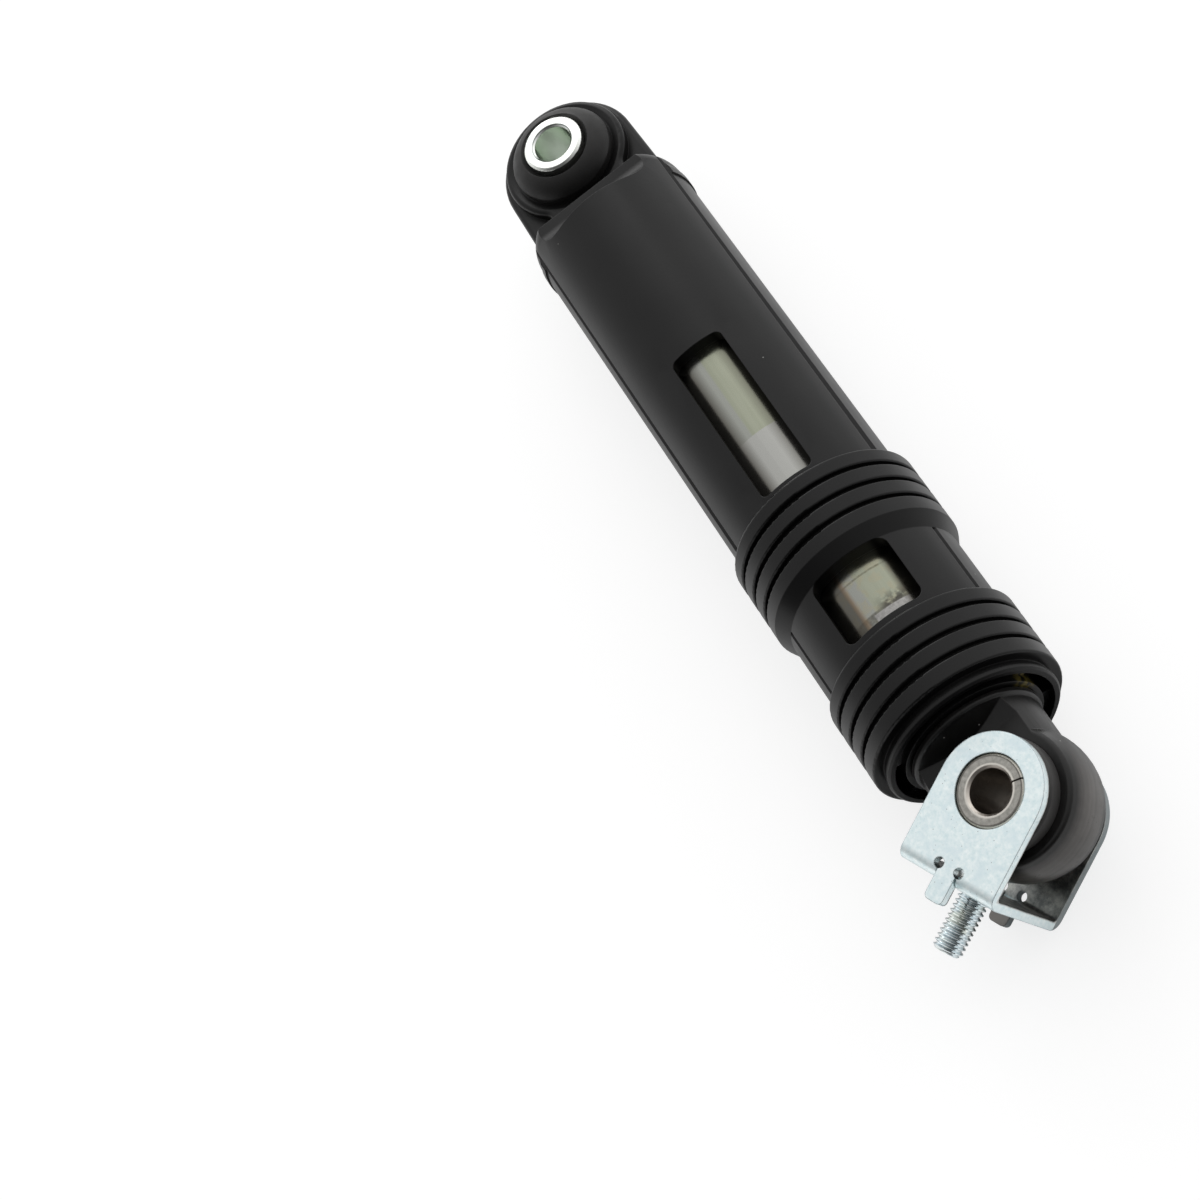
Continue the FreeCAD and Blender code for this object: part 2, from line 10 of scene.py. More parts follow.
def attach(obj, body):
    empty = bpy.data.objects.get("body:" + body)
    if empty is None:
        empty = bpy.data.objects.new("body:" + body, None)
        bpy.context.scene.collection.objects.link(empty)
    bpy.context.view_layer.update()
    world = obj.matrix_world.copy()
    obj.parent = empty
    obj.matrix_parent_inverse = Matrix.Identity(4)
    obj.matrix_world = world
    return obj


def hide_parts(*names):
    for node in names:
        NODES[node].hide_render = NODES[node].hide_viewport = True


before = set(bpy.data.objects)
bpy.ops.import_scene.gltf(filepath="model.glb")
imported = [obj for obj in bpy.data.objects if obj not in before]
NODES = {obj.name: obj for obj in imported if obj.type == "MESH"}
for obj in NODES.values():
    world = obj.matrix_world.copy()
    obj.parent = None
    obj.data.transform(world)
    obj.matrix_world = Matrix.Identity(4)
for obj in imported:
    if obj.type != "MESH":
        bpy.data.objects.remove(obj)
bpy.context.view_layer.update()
MM = 0.001

# In a mesh, points nearer than WELD become one and edges shorter than SLIVER go, in metres
WELD = 1e-6
SLIVER = 1e-7

# Camera, fitted to the photograph: place and axes in the part's frame
IMAGE_PX = 1200
FOCAL_PX = 2946.0
SENSOR_MM = 36.0
CAMERA_MM = (418.9, 26.75, 486.4)
CAMERA_RIGHT = (0.44546, 0.79253, -0.41650)
CAMERA_UP = (-0.70428, 0.59741, 0.38352)
CAMERA_BACK = (0.55277, 0.12249, 0.82428)
CAMERA_CLIP = (0.01, 20.0)

# Sizes of the part that the pieces here share with its solids, in mm
EYE_SPAN = 184.0
COLLAR_R = 20.25
ROD_TURN = math.radians(12.5)
BRACKET_TURN = math.radians(-67.0)
BOLT_BORE_R = 4.2
ROD_SLEEVE_R = 7.0
SLEEVE_EDGE = 0.5
BARREL_R = 14.4
ARM_INNER = 11.2
ARM_OUTER = 13.0
WEB_INNER = 16.6
WEB_REACH = 18.4
STUD_R = 3.0
STUD_SHANK_R = 3.4
STUD_REACH = 30.4
STUD_CHAMFER = 0.7
STUD_HEAD_R = 4.5
STUD_HEAD = 1.2

# The stud's thread, in mm, and its points: round the stud, and from crest to crest
THREAD_PITCH = 1.0
THREAD_DEPTH = 0.58
THREAD_AROUND = 72
THREAD_ANGLES = [2 * math.pi * i / THREAD_AROUND for i in range(THREAD_AROUND)]
THREAD_FORM = (0.0, 0.0, 0.0, 0.25, 0.5, 0.75, 1.0, 1.0, 0.95, 0.75, 0.5, 0.25)
THREAD_ROWS = len(THREAD_FORM)
THREAD_SMOOTH_DEG = 30.0

# Painted sheen, standing for reflection, on the round of the rod's eye, in mm
SHEEN_DEPTH = 0.6
SHEEN_START_X = 3.0
SHEEN_FADE = 10.0

# Marks on the liner, along X and across Y, in mm
LINER_TONE_Y = -0.8
LINER_BARE_X = (93.7, 119.7)
LINER_STAIN_X = 127.6
LINER_RING_X = (133.4, 133.8)
LINER_SMEAR_X = 140.5
LINER_SMEAR_Y = 0.5
LINER_LIP_X = 141.95
LINER_BAND_X = 142.5
LINER_BAND_Y = -1.5
LINER_RUST_Y = (-4.1, -3.1)

# Where painted shade darkens the liner's sides, before and after the middle collar: Y and
# softness, in mm
LINER_COLLAR_X = 120.0
LINER_COLLAR_SOFT = 2.0
LINER_LONG_SHADE = ((3.6, 2.8), (-2.9, 2.2))
LINER_SMALL_SHADE = ((5.4, 1.2), (-3.7, 1.0))
LINER_SHADE_SHARE = 0.78

# Grease at the mouth, in mm
GREASE_AT = (166.4, 14.4, 5.6)
GREASE_R = 2.6
GREASE_SOFT = 2.4

# Floor: its half size in metres, and the light it adds where it is seen, less near the part
FLOOR_HALF = 3.0
FLOOR_LIFT = 0.75
FLOOR_SHADE_MM = (70.0, 22.0)
FLOOR_SHADE_Y_MM = (-30.0, 30.0)
FLOOR_OPEN = (0.45, 0.95)

# Dome: its level, how that grows along X and Y, and the least of it
DOME_LEVEL = 0.70
DOME_SLOPE = (-0.75, 0.36, 0.0)
DOME_LEAST = 0.08

# One soft lamp beyond the housing's eye, in metres and watts
LAMP_AT = (-0.75, 0.15, 0.40)
LAMP_TARGET = (0.09, 0.0, 0.0)
LAMP_SIZE = 0.5
LAMP_POWER = 1.6


def rod_matrix():
    """From distances about the rod eye, in mm, to the part's frame, in metres."""
    return (Matrix.Translation((EYE_SPAN * MM, 0, 0)) @ Matrix.Rotation(ROD_TURN, 4, "X")
            @ Matrix.Scale(MM, 4))


def bracket_matrix():
    """The same for the bracket, whose stud points along its own X."""
    return rod_matrix() @ Matrix.Rotation(BRACKET_TURN, 4, "Z")


def mesh_piece(name, verts, faces, matrix, material, smooth_deg=35.0):
    """A cleaned mesh object, smooth apart from edges sharper than an angle."""
    mesh = bpy.data.meshes.new(name)
    mesh.from_pydata([matrix @ Vector(v) for v in verts], [], faces)
    bm = bmesh.new()
    bm.from_mesh(mesh)
    bmesh.ops.remove_doubles(bm, verts=bm.verts, dist=WELD)
    bmesh.ops.dissolve_degenerate(bm, edges=bm.edges, dist=SLIVER)
    bmesh.ops.recalc_face_normals(bm, faces=bm.faces)
    bm.to_mesh(mesh)
    bm.free()
    mesh.shade_smooth()
    mesh.set_sharp_from_angle(angle=math.radians(smooth_deg))
    obj = bpy.data.objects.new(name, mesh)
    bpy.context.scene.collection.objects.link(obj)
    mesh.materials.append(material)
    return obj


# Materials

class Nodes:
    """A material's node tree, with short ways to add and join nodes."""

    def __init__(self, name):
        self.material = bpy.data.materials.new(name)
        self.material.use_nodes = True
        self.tree = self.material.node_tree
        self.tree.nodes.clear()
        self.out = self.tree.nodes.new("ShaderNodeOutputMaterial")
        self.bsdf = self.tree.nodes.new("ShaderNodeBsdfPrincipled")
        self.tree.links.new(self.bsdf.outputs[0], self.out.inputs[0])

    def add(self, kind, **settings):
        node = self.tree.nodes.new("ShaderNode" + kind)
        for key, value in settings.items():
            setattr(node, key, value)
        return node

    def link(self, source, target):
        self.tree.links.new(source, target)

    def place(self, stretch=(1.0, 1.0, 1.0), turn=0.0, spin=0.0, shift_mm=(0.0, 0.0, 0.0)):
        """Position on the piece, stretched, turned about X and then Z, and shifted."""
        coord = self.add("TexCoord")
        mapping = self.add("Mapping")
        mapping.inputs["Scale"].default_value = stretch
        mapping.inputs["Rotation"].default_value = (turn, 0.0, spin)
        mapping.inputs["Location"].default_value = [s * MM for s in shift_mm]
        self.link(coord.outputs["Object"], mapping.inputs["Vector"])
        return mapping.outputs[0]

    def noise(self, scale, detail=3.0, rough=0.55, stretch=(1.0, 1.0, 1.0)):
        tex = self.add("TexNoise")
        tex.inputs["Scale"].default_value = scale
        tex.inputs["Detail"].default_value = detail
        tex.inputs["Roughness"].default_value = rough
        self.link(self.place(stretch), tex.inputs["Vector"])
        return tex.outputs["Fac"]

    def streaks(self, value, scale, detail):
        """Noise that changes along one value only."""
        tex = self.add("TexNoise", noise_dimensions="1D")
        tex.inputs["Scale"].default_value = scale
        tex.inputs["Detail"].default_value = detail
        self.link(value, tex.inputs["W"])
        return tex.outputs["Fac"]

    def cells(self, scale):
        tex = self.add("TexVoronoi")
        tex.inputs["Scale"].default_value = scale
        self.link(self.place(), tex.inputs["Vector"])
        return tex.outputs["Distance"]

    def ramp(self, value, stops):
        """A colour ramp from (position, colour or grey) stops."""
        node = self.add("ValToRGB")
        elements = node.color_ramp.elements
        while len(elements) < len(stops):
            elements.new(0.5)
        for element, (position, colour) in zip(elements, stops):
            element.position = position
            if not isinstance(colour, tuple):
                colour = (colour, colour, colour)
            element.color = (*colour, 1.0)
        self.link(value, node.inputs[0])
        return node.outputs[0]

    def spread(self, value, low, high, from_low=0.3, from_high=0.7):
        """Maps one range to another; the first is that of most noise unless it is given."""
        node = self.add("MapRange")
        node.inputs["From Min"].default_value = from_low
        node.inputs["From Max"].default_value = from_high
        node.inputs["To Min"].default_value = low
        node.inputs["To Max"].default_value = high
        self.link(value, node.inputs["Value"])
        return node.outputs[0]

    def beyond(self, value, at_mm, soft_mm=0.3, top=1.0):
        """Rises to its top where the value passes a place in mm."""
        half = soft_mm / 2
        return self.spread(value, 0.0, top, (at_mm - half) * MM, (at_mm + half) * MM)

    def short_of(self, value, at_mm, soft_mm=0.3, top=1.0):
        """Falls from its top where the value passes a place in mm."""
        half = soft_mm / 2
        return self.spread(value, top, 0.0, (at_mm - half) * MM, (at_mm + half) * MM)

    def between(self, value, low_mm, high_mm, soft_mm, top=1.0):
        """At its top between two places in mm."""
        return self.times(self.beyond(value, low_mm, soft_mm),
                          self.short_of(value, high_mm, soft_mm, top))

    def join(self, operation, a, b):
        node = self.add("Math", operation=operation)
        self.link(a, node.inputs[0])
        self.link(b, node.inputs[1])
        return node.outputs[0]

    def times(self, a, b):
        return self.join("MULTIPLY", a, b)

    def larger(self, a, b):
        return self.join("MAXIMUM", a, b)

    def size_of(self, value):
        """The value without its sign."""
        node = self.add("Math", operation="ABSOLUTE")
        self.link(value, node.inputs[0])
        return node.outputs[0]

    def split(self, vector):
        node = self.add("SeparateXYZ")
        self.link(vector, node.inputs[0])
        return node.outputs

    def radius(self, vector):
        """Distance from the Z axis."""
        flat = self.add("VectorMath", operation="MULTIPLY")
        flat.inputs[1].default_value = (1.0, 1.0, 0.0)
        self.link(vector, flat.inputs[0])
        size = self.add("VectorMath", operation="LENGTH")
        self.link(flat.outputs[0], size.inputs[0])
        return size.outputs["Value"]

    def away_from(self, point_mm):
        """Distance from a point of the part."""
        node = self.add("VectorMath", operation="DISTANCE")
        node.inputs[1].default_value = [p * MM for p in point_mm]
        self.link(self.place(), node.inputs[0])
        return node.outputs["Value"]

    def mix(self, factor, a, b):
        """Mixes two colours; a colour is a socket or a tuple."""
        node = self.add("Mix", data_type="RGBA")
        self.link(factor, node.inputs[0])
        for socket, colour in ((node.inputs[6], a), (node.inputs[7], b)):
            if isinstance(colour, tuple):
                socket.default_value = (*colour, 1.0)
            else:
                self.link(colour, socket)
        return node.outputs[2]

    def specks(self, scale, size):
        """Few small round spots where a cell's middle comes near the surface."""
        return self.spread(self.cells(scale), 1.0, 0.0, size * 0.6, size)

    def bevel(self, radius_mm):
        """A normal that rounds the sharp edges of the solids."""
        node = self.add("Bevel", samples=4)
        node.inputs["Radius"].default_value = radius_mm * MM
        return node.outputs[0]

    def edges(self, softened, top):
        """Rises to its top where a softened normal leans away from the surface's own."""
        own = self.add("NewGeometry")
        lean = self.add("VectorMath", operation="DOT_PRODUCT")
        self.link(own.outputs["Normal"], lean.inputs[0])
        self.link(softened, lean.inputs[1])
        return self.spread(lean.outputs["Value"], top, 0.0, 0.88, 0.99)

    def bump(self, height, strength, distance_mm, below=None):
        node = self.add("Bump")
        node.inputs["Strength"].default_value = strength
        node.inputs["Distance"].default_value = distance_mm * MM
        self.link(height, node.inputs["Height"])
        if below is not None:
            self.link(below, node.inputs["Normal"])
        return node.outputs[0]

    def finish(self, colour=None, rough=None, normal=None, **fixed):
        """Joins what is given to the surface, with fixed values for other inputs."""
        for value, name in ((colour, "Base Color"), (rough, "Roughness"), (normal, "Normal")):
            if value is not None:
                self.link(value, self.bsdf.inputs[name])
        for name, value in fixed.items():
            self.bsdf.inputs[name.replace("_", " ")].default_value = value
        return self.material


def moulded_black():
    """Satin black moulding with a fine eroded grain and a few dust specks."""
    n = Nodes("moulded_black")
    cloud = n.noise(70.0, 4.0)
    body = n.ramp(cloud, [(0.3, (0.0032, 0.0032, 0.0034)), (0.7, (0.0052, 0.0051, 0.0051))])
    body = n.mix(n.specks(120.0, 0.024), body, (0.22, 0.22, 0.21))
    rough = n.spread(n.noise(45.0, 5.0), 0.28, 0.37)
    normal = n.bump(n.noise(1900.0, 3.0), 0.16, 0.05, n.bevel(0.25))
    return n.finish(body, rough, normal, Specular_IOR_Level=0.21)


def guide_black():
    """The guide ring's moulding, with a patch of grease at the mouth."""
    n = Nodes("guide_black")
    cloud = n.noise(70.0, 4.0)
    body = n.ramp(cloud, [(0.3, (0.0034, 0.0034, 0.0036)), (0.7, (0.0060, 0.0059, 0.0058))])
    near = n.short_of(n.away_from(GREASE_AT), GREASE_R, GREASE_SOFT)
    patchy = n.spread(n.noise(900.0, 4.0), 0.0, 1.0, 0.40, 0.56)
    body = n.mix(n.times(near, patchy), body, (0.23, 0.185, 0.045))
    rough = n.spread(n.noise(90.0, 5.0), 0.30, 0.42)
    normal = n.bump(n.noise(1500.0, 3.0), 0.14, 0.05, n.bevel(0.2))
    return n.finish(body, rough, normal, Specular_IOR_Level=0.34)


def barrel_painted_sheen(n):
    """Where a painted sheen, standing for reflection, lightens the round of the rod's eye, in
    streaks across it.
    """
    turned = n.place(turn=-ROD_TURN, shift_mm=(-EYE_SPAN, 0.0, 0.0))
    ahead, _, along_bolt = n.split(turned)
    barrel = n.between(n.radius(turned), BARREL_R - SHEEN_DEPTH, BARREL_R + SHEEN_DEPTH, 0.6)
    barrel = n.times(barrel, n.beyond(ahead, SHEEN_START_X, SHEEN_FADE))
    streaks = n.spread(n.streaks(along_bolt, 900.0, 4.0), 0.70, 1.0)
    # Painted sheen: lighter grey in streaks where reflection falls on the round of the eye.
    painted_highlight = n.times(streaks, n.spread(n.noise(150.0, 4.0), 0.65, 1.0))
    return n.times(barrel, painted_highlight)


def gloss_black():
    """Smoother black of the rod, with fine scuffs and specks, and a painted grey sheen, standing
    for reflection, round its eye.
    """
    n = Nodes("gloss_black")
    cloud = n.noise(120.0, 4.0)
    body = n.ramp(cloud, [(0.3, (0.0054, 0.0051, 0.0050)), (0.7, (0.0086, 0.0081, 0.0077))])
    # Painted sheen: grey standing for reflection on the round of the eye.
    body = n.mix(barrel_painted_sheen(n), body, (0.190, 0.178, 0.168))
    body = n.mix(n.specks(260.0, 0.05), body, (0.30, 0.29, 0.28))
    scuffs = n.noise(320.0, 6.0, 0.7, (0.25, 1.0, 1.0))
    rough = n.spread(scuffs, 0.26, 0.42)
    normal = n.bump(n.noise(1100.0, 3.0), 0.10, 0.05, n.bevel(0.3))
    return n.finish(body, rough, normal, Specular_IOR_Level=0.37)


def rubber_black(name, bloom):
    """Dull rubber, paler the more it has bloomed."""
    n = Nodes(name)
    low = tuple(bloom * c for c in (0.0105, 0.0102, 0.0100))
    high = tuple(bloom * c for c in (0.0160, 0.0154, 0.0150))
    body = n.ramp(n.noise(150.0, 5.0), [(0.3, low), (0.7, high)])
    rough = n.spread(n.noise(420.0, 4.0), 0.44, 0.58)
    normal = n.bump(n.noise(1700.0, 3.0), 0.20, 0.05, n.bevel(0.3))
    return n.finish(body, rough, normal, Specular_IOR_Level=0.33)


def liner_finish(n, body, x, y):
    """A more neutral tone on the liner's -Y side, its bare stretch, and stains that lead to a
    dark ring.
    """
    # A more neutral tone on the -Y side of the liner.
    minus_y_tone = n.short_of(y, LINER_TONE_Y, 0.5, 0.75)
    body = n.mix(minus_y_tone, body, (0.268, 0.272, 0.262))
    bare_start, bare_end = LINER_BARE_X
    bare = n.times(n.beyond(x, bare_start, 0.25), n.short_of(x, bare_end, 1.0))
    body = n.mix(bare, body, (0.330, 0.330, 0.312))
    wander = n.spread(n.noise(500.0, 5.0), 0.0, 1.0, 0.46, 0.60)
    stain_and_shade = n.times(n.beyond(x, LINER_STAIN_X, 1.0, 0.55), wander)
    body = n.mix(stain_and_shade, body, (0.30, 0.28, 0.20))
    ring = n.between(x, *LINER_RING_X, 0.2, 0.8)
    ring = n.times(ring, n.spread(n.noise(1200.0, 3.0), 0.2, 1.0))
    return n.mix(ring, body, (0.10, 0.095, 0.06))


def liner_band(n, body, x, y):
    """A mottled band in the small window, with a smear and a dark lip before it."""
    smear = n.times(n.beyond(x, LINER_SMEAR_X, 2.6, 0.95), n.beyond(y, LINER_SMEAR_Y, 2.4))
    smear = n.times(smear, n.spread(n.noise(620.0, 5.0), 0.0, 1.0, 0.38, 0.52))
    body = n.mix(smear, body, (0.058, 0.055, 0.047))
    lip = n.times(n.beyond(x, LINER_LIP_X, 0.3), n.spread(n.noise(900.0, 3.0), 0.3, 0.9))
    body = n.mix(lip, body, (0.085, 0.082, 0.072))
    band = n.times(n.beyond(x, LINER_BAND_X, 0.2), n.beyond(y, LINER_BAND_Y, 0.3))
    mottle = n.ramp(n.noise(1400.0, 4.0),
                    [(0.35, (0.225, 0.220, 0.212)), (0.65, (0.315, 0.308, 0.298))])
    return n.mix(band, body, mottle)


def liner_side_shade(n, body, x, y):
    """Painted shade on the liner's sides in both windows, standing for the window walls' shadow
    and dark reflection, and a line of rust in the small one.
    """
    in_long = n.short_of(x, LINER_COLLAR_X, LINER_COLLAR_SOFT)
    in_small = n.beyond(x, LINER_COLLAR_X, LINER_COLLAR_SOFT)
    rust_low, rust_high = LINER_RUST_Y
    rust = n.times(n.beyond(y, rust_low, 0.3), n.short_of(y, rust_high, 0.8, 0.7))
    body = n.mix(n.times(rust, in_small), body, (0.215, 0.150, 0.095))
    # Painted shade: the liner darkens towards the sides of each window.
    for window, sides in ((in_long, LINER_LONG_SHADE), (in_small, LINER_SMALL_SHADE)):
        for side, reach in zip(sides, (n.beyond, n.short_of)):
            dark = n.times(reach(y, *side, LINER_SHADE_SHARE), window)
            body = n.mix(dark, body, (0.062, 0.056, 0.046))
    return body


def liner_steel():
    """Satin steel tube with a more neutral tone on its -Y side, a change of finish, the stains
    seen in the windows and painted shade at their sides.
    """
    n = Nodes("liner_steel")
    x, y, _ = n.split(n.place())
    lines = n.noise(800.0, 4.0, 0.6, (0.04, 1.0, 1.0))
    body = n.ramp(lines, [(0.3, (0.262, 0.275, 0.212)), (0.7, (0.290, 0.302, 0.238))])
    body = liner_finish(n, body, x, y)
    body = liner_band(n, body, x, y)
    body = liner_side_shade(n, body, x, y)
    rough = n.spread(n.noise(260.0, 4.0), 0.17, 0.25)
    return n.finish(body, rough, n.bump(lines, 0.05, 0.02), Metallic=1.0)


def zinc_plate(n, low, high, tint, tint_share):
    """Colour and clouding of zinc plate: mottled, with dark specks and patches of tint."""
    cloud = n.noise(1100.0, 5.0, 0.62)
    body = n.ramp(cloud, [(0.3, low), (0.7, high)])
    patches = n.spread(n.noise(300.0, 4.0), 0.0, tint_share, 0.48, 0.66)
    body = n.mix(patches, body, tint)
    return n.mix(n.specks(900.0, 0.10), body, (0.34, 0.37, 0.38)), cloud


def sleeve_zinc():
    """Bright sleeve with a painted dark line of shade round its bore's edge and a green-tinted
    inside, a painted reflection of the pale floor.
    """
    n = Nodes("sleeve_zinc")
    body, cloud = zinc_plate(n, (0.93, 0.96, 0.91), (1.0, 1.0, 0.97), (0.88, 0.95, 0.93), 0.5)
    out = n.radius(n.place())
    uneven = n.spread(n.noise(260.0, 3.0), 0.25, 1.0)
    # Painted shade: a dark line round the bore's edge, uneven along it.
    line = n.between(out, BOLT_BORE_R + 0.32, BOLT_BORE_R + 0.52, 0.1)
    body = n.mix(n.times(line, uneven), body, (0.10, 0.12, 0.12))
    # Painted reflection of the pale floor: the bore's inside tinted pale green.
    inside = n.short_of(out, BOLT_BORE_R + 0.06, 0.06)
    body = n.mix(inside, body, (0.93, 1.0, 0.91))
    rough = n.spread(n.noise(420.0, 5.0), 0.16, 0.26)
    normal = n.bump(cloud, 0.07, 0.03, n.bevel(0.22))
    return n.finish(body, rough, normal, Metallic=1.0)


def bracket_shade(n, body):
    """Painted shade on the bracket: mottled on the inside of the U, dark on the inside of the
    tabs and on the cut edge of the far arm.
    """
    ahead, _, along_bolt = n.split(n.place(turn=-ROD_TURN, spin=-BRACKET_TURN))
    depth = n.size_of(along_bolt)
    eye = EYE_SPAN * math.cos(BRACKET_TURN)
    within = n.short_of(depth, ARM_INNER + 0.3, 0.3)
    inside = n.times(within, n.short_of(ahead, eye + WEB_INNER + 0.2, 0.3))
    # Painted shade, mottled, on the inside of the U.
    stain_and_shade = n.ramp(n.noise(420.0, 6.0, 0.7),
                   [(0.38, (0.32, 0.33, 0.33)), (0.66, (0.86, 0.87, 0.83))])
    body = n.mix(inside, body, stain_and_shade)
    # Painted shade on the inside of the tabs.
    tabs = n.times(within, n.beyond(ahead, eye + WEB_REACH + 0.3, 0.3))
    body = n.mix(tabs, body, (0.20, 0.19, 0.18))
    # Painted shade on the cut edge of the far arm.
    cut = n.times(n.short_of(along_bolt, -ARM_INNER - 0.15, 0.2, 0.8),
                  n.short_of(depth, ARM_OUTER - 0.1, 0.1))
    return n.mix(cut, body, (0.16, 0.175, 0.18))


def bracket_zinc():
    """Satin zinc on the bent sheet, darker at its edges."""
    n = Nodes("bracket_zinc")
    body, cloud = zinc_plate(n, (0.70, 0.835, 0.86), (0.93, 1.0, 1.0), (0.72, 0.84, 0.88), 0.6)
    body = bracket_shade(n, body)
    soft = n.bevel(0.3)
    # Darker along the edges.
    body = n.mix(n.edges(soft, 0.75), body, (0.16, 0.18, 0.19))
    rough = n.spread(n.noise(420.0, 5.0), 0.30, 0.42)
    return n.finish(body, rough, n.bump(cloud, 0.07, 0.03, soft), Metallic=1.0)


def stud_zinc():
    """Brighter plate of the stud, with a trace of yellow on it."""
    n = Nodes("stud_zinc")
    body, cloud = zinc_plate(n, (0.60, 0.68, 0.71), (0.88, 0.93, 0.95), (0.80, 0.76, 0.58), 0.3)
    rough = n.spread(n.noise(420.0, 5.0), 0.10, 0.18)
    return n.finish(body, rough, n.bump(cloud, 0.05, 0.02), Metallic=1.0)


def rolled_outside(n, body, out):
    """Rings at the outside of the rolled sleeve's end: a line, a painted highlight on the rim and
    a dark joint.
    """
    line = n.between(out, ROD_SLEEVE_R - 0.75, ROD_SLEEVE_R - 0.5, 0.15, 0.7)
    body = n.mix(line, body, (0.07, 0.064, 0.056))
    # Painted highlight on the rim of the sleeve's end.
    rim_highlight = n.beyond(out, ROD_SLEEVE_R - 0.45, 0.1)
    body = n.mix(rim_highlight, body, (0.60, 0.56, 0.50))
    joint = n.beyond(out, ROD_SLEEVE_R - 0.2, 0.12, 0.85)
    return n.mix(joint, body, (0.05, 0.046, 0.042))


def rolled_inside(n, body, out):
    """Rings at its bore: a painted highlight round the edge, a painted highlight on the chamfer
    and a brown inside.
    """
    # Painted highlight: a bright ring round the bore's edge.
    painted_highlight = n.short_of(out, BOLT_BORE_R + SLEEVE_EDGE + 0.35, 0.2, 0.75)
    body = n.mix(painted_highlight, body, (0.74, 0.71, 0.65))
    # Painted highlight on the chamfer.
    chamfer_highlight = n.short_of(out, BOLT_BORE_R + SLEEVE_EDGE, 0.1)
    body = n.mix(chamfer_highlight, body, (0.66, 0.61, 0.55))
    inside = n.short_of(out, BOLT_BORE_R + 0.06, 0.06)
    return n.mix(inside, body, (0.30, 0.262, 0.225))


def rolled_steel():
    """Dull rolled steel of the sleeve in the rod's eye."""
    n = Nodes("rolled_steel")
    out = n.radius(n.place(turn=-ROD_TURN, shift_mm=(-EYE_SPAN, 0.0, 0.0)))
    cloud = n.noise(1300.0, 5.0, 0.65)
    body = n.ramp(cloud, [(0.3, (0.245, 0.238, 0.218)), (0.7, (0.425, 0.413, 0.380))])
    body = rolled_outside(n, body, out)
    body = rolled_inside(n, body, out)
    rough = n.spread(n.noise(600.0, 4.0), 0.26, 0.42)
    normal = n.bump(cloud, 0.12, 0.03, n.bevel(0.15))
    return n.finish(body, rough, normal, Metallic=1.0)


def lining_foam():
    """Greased foam, yellow with open pores."""
    n = Nodes("lining_foam")
    pores = n.cells(1400.0)
    body = n.ramp(pores, [(0.1, (0.20, 0.17, 0.08)), (0.6, (0.42, 0.37, 0.20))])
    return n.finish(body, n.spread(pores, 0.6, 0.9), n.bump(pores, 0.5, 0.3))


def open_floor(n):
    """How open the floor is: least beside the part, and shaded further out on its -Y side."""
    near = n.add("AmbientOcclusion", samples=4)
    _, across, _ = n.split(n.place())
    reach = [r * MM for r in FLOOR_SHADE_MM]
    ends = [y * MM for y in FLOOR_SHADE_Y_MM]
    n.link(n.spread(across, *reach, *ends), near.inputs["Distance"])
    return n.spread(near.outputs["AO"], 0.0, 1.0, *FLOOR_OPEN)


def floor_white():
    """Pale floor that keeps the shadow and reads as white to the camera and in metal."""
    n = Nodes("floor_white")
    body = n.ramp(n.noise(8.0, 2.0), [(0.3, 0.36), (0.7, 0.37)])
    n.finish(body, Roughness=0.9, Specular_IOR_Level=0.0)
    path = n.add("LightPath")
    camera = path.outputs["Is Camera Ray"]
    seen = n.larger(camera, path.outputs["Is Glossy Ray"])
    share = n.larger(camera, open_floor(n))
    lift = n.add("Emission")
    n.link(n.spread(share, 0.0, FLOOR_LIFT, 0.0, 1.0), lift.inputs["Strength"])
    both = n.add("AddShader")
    n.link(n.bsdf.outputs[0], both.inputs[0])
    n.link(lift.outputs[0], both.inputs[1])
    choose = n.add("MixShader")
    n.link(seen, choose.inputs[0])
    n.link(n.bsdf.outputs[0], choose.inputs[1])
    n.link(both.outputs[0], choose.inputs[2])
    n.link(choose.outputs[0], n.out.inputs[0])
    return n.material


# Stage

def make_floor():
    """The table, under the collars."""
    z = -COLLAR_R * MM
    h = FLOOR_HALF
    obj = mesh_piece("floor", [(-h, -h, z), (h, -h, z), (h, h, z), (-h, h, z)], [(0, 1, 2, 3)],
                     Matrix.Identity(4), floor_white())


def make_world():
    """A soft dome, bright behind the eye end and to +Y, dim on the viewer's side."""
    world = bpy.data.worlds.new("studio")
    bpy.context.scene.world = world
    world.use_nodes = True
    tree = world.node_tree
    tree.nodes.clear()
    out = tree.nodes.new("ShaderNodeOutputWorld")
    back = tree.nodes.new("ShaderNodeBackground")
    coord = tree.nodes.new("ShaderNodeTexCoord")
    slope = tree.nodes.new("ShaderNodeVectorMath")
    slope.operation = "DOT_PRODUCT"
    slope.inputs[1].default_value = DOME_SLOPE
    level = tree.nodes.new("ShaderNodeMath")
    level.operation = "ADD"
    level.inputs[1].default_value = DOME_LEVEL
    least = tree.nodes.new("ShaderNodeMath")
    least.operation = "MAXIMUM"
    least.inputs[1].default_value = DOME_LEAST
    tree.links.new(coord.outputs["Generated"], slope.inputs[0])
    tree.links.new(slope.outputs["Value"], level.inputs[0])
    tree.links.new(level.outputs[0], least.inputs[0])
    tree.links.new(least.outputs[0], back.inputs["Strength"])
    back.inputs["Color"].default_value = (1.0, 1.0, 1.0, 1.0)
    tree.links.new(back.outputs[0], out.inputs[0])


def make_lamp():
    """The soft lamp, turned to the middle of the part."""
    light = bpy.data.lights.new("rear_box", "AREA")
    light.shape = "SQUARE"
    light.size = LAMP_SIZE
    light.energy = LAMP_POWER
    obj = bpy.data.objects.new("rear_box", light)
    bpy.context.scene.collection.objects.link(obj)
    obj.location = LAMP_AT
    obj.rotation_mode = "QUATERNION"
    toward = Vector(LAMP_TARGET) - Vector(LAMP_AT)
    obj.rotation_quaternion = toward.to_track_quat("-Z", "Y")


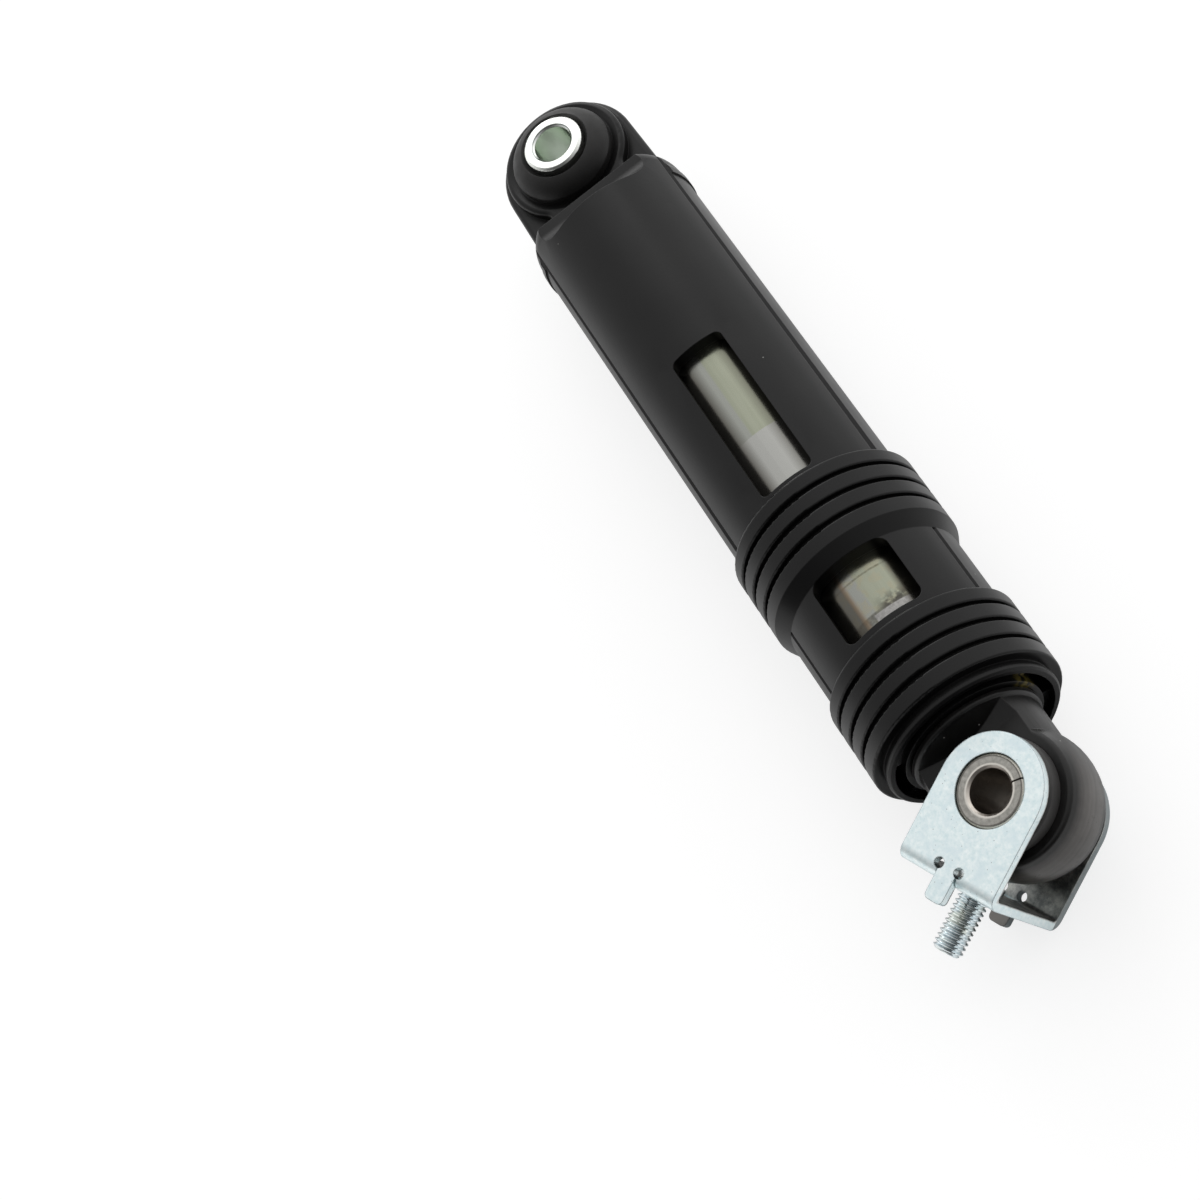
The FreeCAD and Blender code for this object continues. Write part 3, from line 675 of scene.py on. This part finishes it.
def make_camera():
    """The camera at the photograph's place."""
    camera = bpy.data.cameras.new("photo_camera")
    camera.sensor_fit = "AUTO"
    camera.sensor_width = SENSOR_MM
    camera.lens = FOCAL_PX * SENSOR_MM / IMAGE_PX
    camera.clip_start, camera.clip_end = CAMERA_CLIP
    obj = bpy.data.objects.new("photo_camera", camera)
    bpy.context.scene.collection.objects.link(obj)
    axes = Matrix((CAMERA_RIGHT, CAMERA_UP, CAMERA_BACK)).transposed().to_4x4()
    obj.matrix_world = Matrix.Translation(Vector(CAMERA_MM) * MM) @ axes
    bpy.context.scene.camera = obj


# Pieces

def dress(node, material):
    """Gives one of the CAD nodes its material."""
    mesh = NODES[node].data
    mesh.materials.clear()
    mesh.materials.append(material)


def stud_circle(along, r):
    """A ring of points round the stud's axis."""
    return [(along, r * math.cos(a), r * math.sin(a)) for a in THREAD_ANGLES]


def thread_point(along, depth, angle):
    """A point of the thread's surface; the tip is chamfered and both ends are plain."""
    tip = STUD_REACH - STUD_CHAMFER
    r = STUD_R - depth * THREAD_DEPTH
    if along > tip:
        r = min(r, STUD_R - (along - tip))
    if along <= WEB_REACH:
        along, r = WEB_REACH, STUD_R
    if along >= STUD_REACH:
        along, r = STUD_REACH, STUD_R - STUD_CHAMFER
    return (along, r * math.cos(angle), r * math.sin(angle))


def thread_surface():
    """Rows of points that wind along the stud, each turn joined to the next."""
    rows = int((STUD_REACH - WEB_REACH) / THREAD_PITCH + 2) * THREAD_ROWS
    verts, faces = [], []
    for j in range(rows + 1):
        for i, angle in enumerate(THREAD_ANGLES):
            turns = (j - THREAD_ROWS) / THREAD_ROWS + i / THREAD_AROUND
            along = WEB_REACH + turns * THREAD_PITCH
            verts.append(thread_point(along, THREAD_FORM[j % THREAD_ROWS], angle))
    for j in range(rows):
        for i in range(THREAD_AROUND):
            a, b = j * THREAD_AROUND + i, (j + 1) * THREAD_AROUND + i
            if i + 1 < THREAD_AROUND:
                faces.append((a, a + 1, b + 1, b))
            elif j + THREAD_ROWS + 1 <= rows:
                first = (j + THREAD_ROWS) * THREAD_AROUND
                faces.append((a, first, first + THREAD_AROUND, b))
    return verts, faces


def stud_back(start):
    """From the foot of the thread through the web to the head; start counts the points before."""
    steps = [(WEB_REACH, STUD_R), (WEB_REACH, STUD_SHANK_R), (WEB_INNER, STUD_SHANK_R),
             (WEB_INNER, STUD_HEAD_R), (WEB_INNER - STUD_HEAD, STUD_HEAD_R)]
    verts, faces = [], []
    for along, r in steps:
        verts += stud_circle(along, r)
    for k in range(len(steps) - 1):
        a, b = start + k * THREAD_AROUND, start + (k + 1) * THREAD_AROUND
        for i in range(THREAD_AROUND):
            after = (i + 1) % THREAD_AROUND
            faces.append((a + i, a + after, b + after, b + i))
    last = start + (len(steps) - 1) * THREAD_AROUND
    faces.append(tuple(range(last, last + THREAD_AROUND)))
    return verts, faces


def stud_thread(material):
    """The stud: head, shank, and a thread from the web to the tip, as one closed mesh."""
    verts, faces = thread_surface()
    tip = len(verts)
    verts += stud_circle(STUD_REACH, STUD_R - STUD_CHAMFER)
    faces.append(tuple(range(tip, tip + THREAD_AROUND)))
    back_verts, back_faces = stud_back(len(verts))
    obj = mesh_piece("stud_thread", verts + back_verts, faces + back_faces, bracket_matrix(),
                     material, THREAD_SMOOTH_DEG)
    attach(obj, "bracket")
    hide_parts("stud")


dress("housing", moulded_black())
dress("guide_ring", guide_black())
dress("liner_tube", liner_steel())
dress("housing_eye_bush", rubber_black("hub_rubber", 1.0))
dress("rod_eye_bush", rubber_black("rod_rubber", 5.0))
dress("housing_eye_sleeve", sleeve_zinc())
dress("friction_lining", lining_foam())
dress("rod", gloss_black())
dress("rod_eye_sleeve", rolled_steel())
dress("bracket", bracket_zinc())
stud_thread(stud_zinc())
make_floor()
make_world()
make_lamp()
make_camera()
bpy.context.scene.view_settings.view_transform = "Standard"
